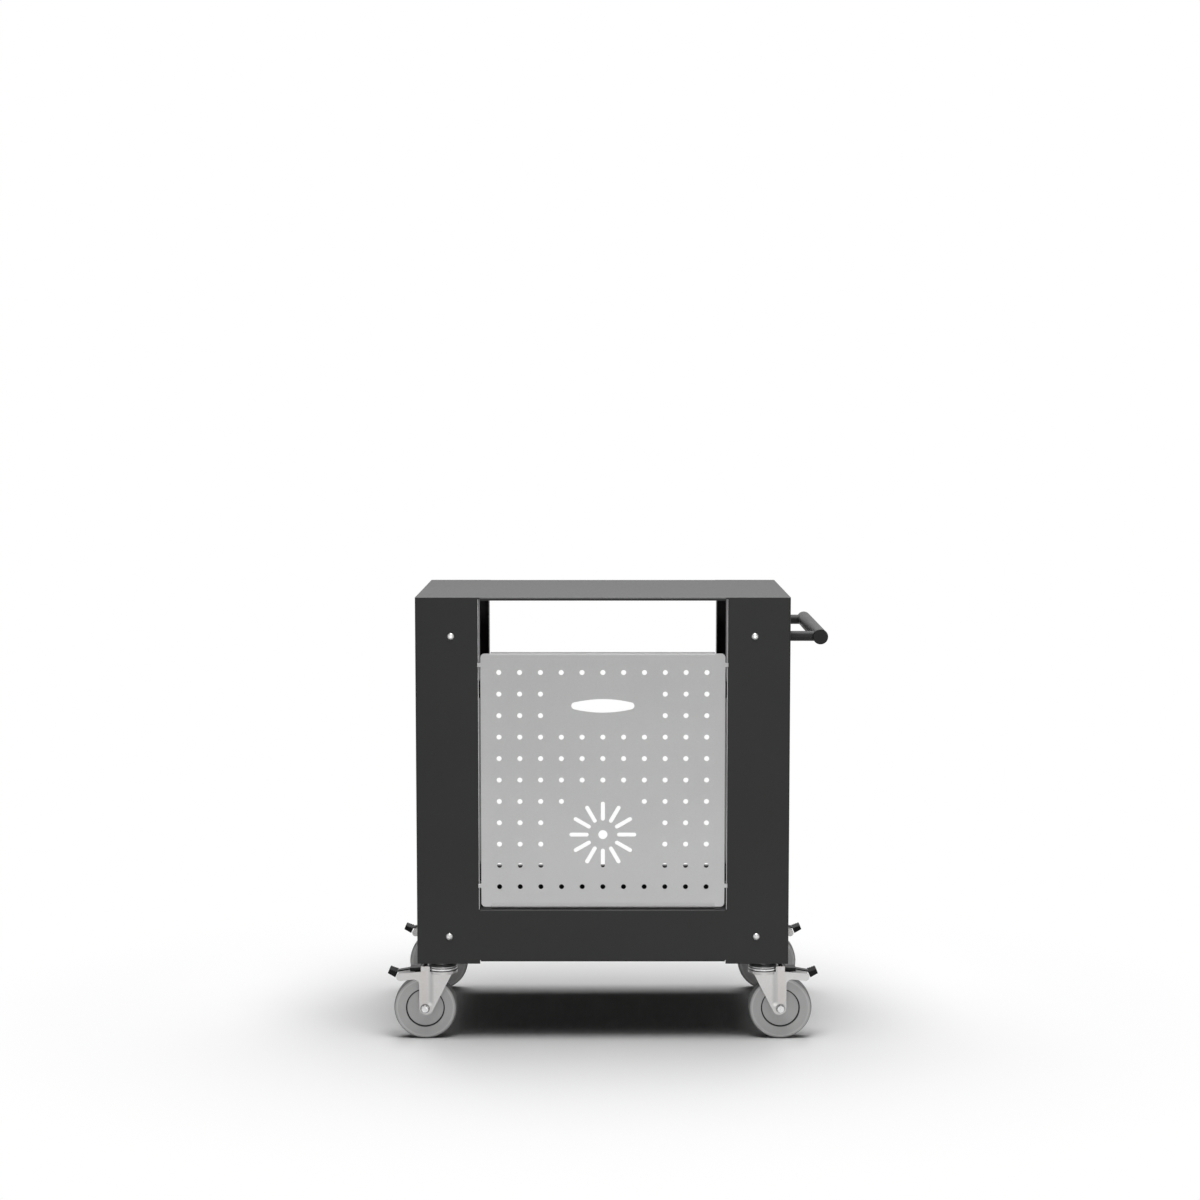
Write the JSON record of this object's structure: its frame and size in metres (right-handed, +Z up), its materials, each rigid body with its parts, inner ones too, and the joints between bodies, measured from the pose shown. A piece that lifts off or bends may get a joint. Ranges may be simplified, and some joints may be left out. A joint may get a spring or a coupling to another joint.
{
  "type": "outdoor pizza oven table",
  "caption": "Folded steel table on braked swivel casters, with a side handle and a perforated front panel that lifts away, for standing a pizza oven on.",
  "frame": {"origin": "on the floor, at the middle of the overall width and depth, casters and handle included", "axes": "+X to the handle side, -Y out of the front panel, +Z up"},
  "size_m": [0.8738, 0.448, 0.886],
  "materials": {
    "dark_powder_coat": "satin",
    "light_powder_coat": "satin",
    "zinc_plated_steel": "satin",
    "bright_screw_steel": "polished",
    "black_steel": "satin",
    "grey_rubber": "matte",
    "grey_nylon": "matte",
    "black_plastic": "matte"
  },
  "bodies": {
    "table": {"front_frame": "dark_powder_coat", "rear_frame": "dark_powder_coat", "left_side_panel": "dark_powder_coat", "right_side_panel": "dark_powder_coat", "left_foot_rail": "dark_powder_coat", "right_foot_rail": "dark_powder_coat", "lower_shelf": "dark_powder_coat", "worktop": "dark_powder_coat", "worktop_stiffener": "dark_powder_coat", "frame_screws": "bright_screw_steel", "frame_nuts": "zinc_plated_steel", "worktop_nuts": "zinc_plated_steel", "caster_washers": "zinc_plated_steel", "caster_nuts": "zinc_plated_steel", "caster_balls": "bright_screw_steel", "handle_bar": "dark_powder_coat", "handle_arm_front": "dark_powder_coat", "handle_arm_rear": "dark_powder_coat", "handle_cap_front": "black_plastic", "handle_cap_rear": "black_plastic", "handle_screws": "bright_screw_steel", "panel_catches": "black_plastic", "front_left_head": "zinc_plated_steel", "front_left_king_pin": "zinc_plated_steel", "front_right_head": "zinc_plated_steel", "front_right_king_pin": "zinc_plated_steel", "rear_left_head": "zinc_plated_steel", "rear_left_king_pin": "zinc_plated_steel", "rear_right_head": "zinc_plated_steel", "rear_right_king_pin": "zinc_plated_steel"},
    "front_left_swivel": {"front_left_fork": "zinc_plated_steel", "front_left_axle_bolt": "bright_screw_steel", "front_left_brake_pin": "zinc_plated_steel"},
    "front_left_wheel": {"front_left_tyre": "grey_rubber", "front_left_hub": "grey_nylon"},
    "front_left_brake": {"front_left_brake_lever": "black_steel", "front_left_brake_pedal": "black_plastic"},
    "front_right_swivel": {"front_right_fork": "zinc_plated_steel", "front_right_axle_bolt": "bright_screw_steel", "front_right_brake_pin": "zinc_plated_steel"},
    "front_right_wheel": {"front_right_tyre": "grey_rubber", "front_right_hub": "grey_nylon"},
    "front_right_brake": {"front_right_brake_lever": "black_steel", "front_right_brake_pedal": "black_plastic"},
    "rear_left_swivel": {"rear_left_fork": "zinc_plated_steel", "rear_left_axle_bolt": "bright_screw_steel", "rear_left_brake_pin": "zinc_plated_steel"},
    "rear_left_wheel": {"rear_left_tyre": "grey_rubber", "rear_left_hub": "grey_nylon"},
    "rear_left_brake": {"rear_left_brake_lever": "black_steel", "rear_left_brake_pedal": "black_plastic"},
    "rear_right_swivel": {"rear_right_fork": "zinc_plated_steel", "rear_right_axle_bolt": "bright_screw_steel", "rear_right_brake_pin": "zinc_plated_steel"},
    "rear_right_wheel": {"rear_right_tyre": "grey_rubber", "rear_right_hub": "grey_nylon"},
    "rear_right_brake": {"rear_right_brake_lever": "black_steel", "rear_right_brake_pedal": "black_plastic"},
    "panel": {"front_panel": "light_powder_coat"}
  },
  "joints": [
    {"name": "front_left_swivel_turn", "type": "hinge", "parent": "table", "child": "front_left_swivel", "pos_m": [-0.32907, -0.188, 0.14], "axis": [0, 0, 1], "continuous": true},
    {"name": "front_left_wheel_roll", "type": "hinge", "parent": "front_left_swivel", "child": "front_left_wheel", "pos_m": [-0.36257, -0.188, 0.0625], "axis": [0, 1, 0], "continuous": true},
    {"name": "front_left_brake_press", "type": "hinge", "parent": "front_left_swivel", "child": "front_left_brake", "pos_m": [-0.36507, -0.188, 0.1435], "axis": [0, -1, 0], "range_deg": [0, 14]},
    {"name": "front_right_swivel_turn", "type": "hinge", "parent": "table", "child": "front_right_swivel", "pos_m": [0.31293, -0.188, 0.14], "axis": [0, 0, 1], "continuous": true},
    {"name": "front_right_wheel_roll", "type": "hinge", "parent": "front_right_swivel", "child": "front_right_wheel", "pos_m": [0.34643, -0.188, 0.0625], "axis": [0, 1, 0], "continuous": true},
    {"name": "front_right_brake_press", "type": "hinge", "parent": "front_right_swivel", "child": "front_right_brake", "pos_m": [0.34893, -0.188, 0.1435], "axis": [0, 1, 0], "range_deg": [0, 14]},
    {"name": "rear_left_swivel_turn", "type": "hinge", "parent": "table", "child": "rear_left_swivel", "pos_m": [-0.32907, 0.188, 0.14], "axis": [0, 0, 1], "continuous": true},
    {"name": "rear_left_wheel_roll", "type": "hinge", "parent": "rear_left_swivel", "child": "rear_left_wheel", "pos_m": [-0.36257, 0.188, 0.0625], "axis": [0, 1, 0], "continuous": true},
    {"name": "rear_left_brake_press", "type": "hinge", "parent": "rear_left_swivel", "child": "rear_left_brake", "pos_m": [-0.36507, 0.188, 0.1435], "axis": [0, -1, 0], "range_deg": [0, 14]},
    {"name": "rear_right_swivel_turn", "type": "hinge", "parent": "table", "child": "rear_right_swivel", "pos_m": [0.31293, 0.188, 0.14], "axis": [0, 0, 1], "continuous": true},
    {"name": "rear_right_wheel_roll", "type": "hinge", "parent": "rear_right_swivel", "child": "rear_right_wheel", "pos_m": [0.34643, 0.188, 0.0625], "axis": [0, 1, 0], "continuous": true},
    {"name": "rear_right_brake_press", "type": "hinge", "parent": "rear_right_swivel", "child": "rear_right_brake", "pos_m": [0.34893, 0.188, 0.1435], "axis": [0, 1, 0], "range_deg": [0, 14]},
    {"name": "panel_pull", "type": "slide", "parent": "table", "child": "panel", "axis": [0, -1, 0], "range_m": [0, 0.12]}
  ]
}
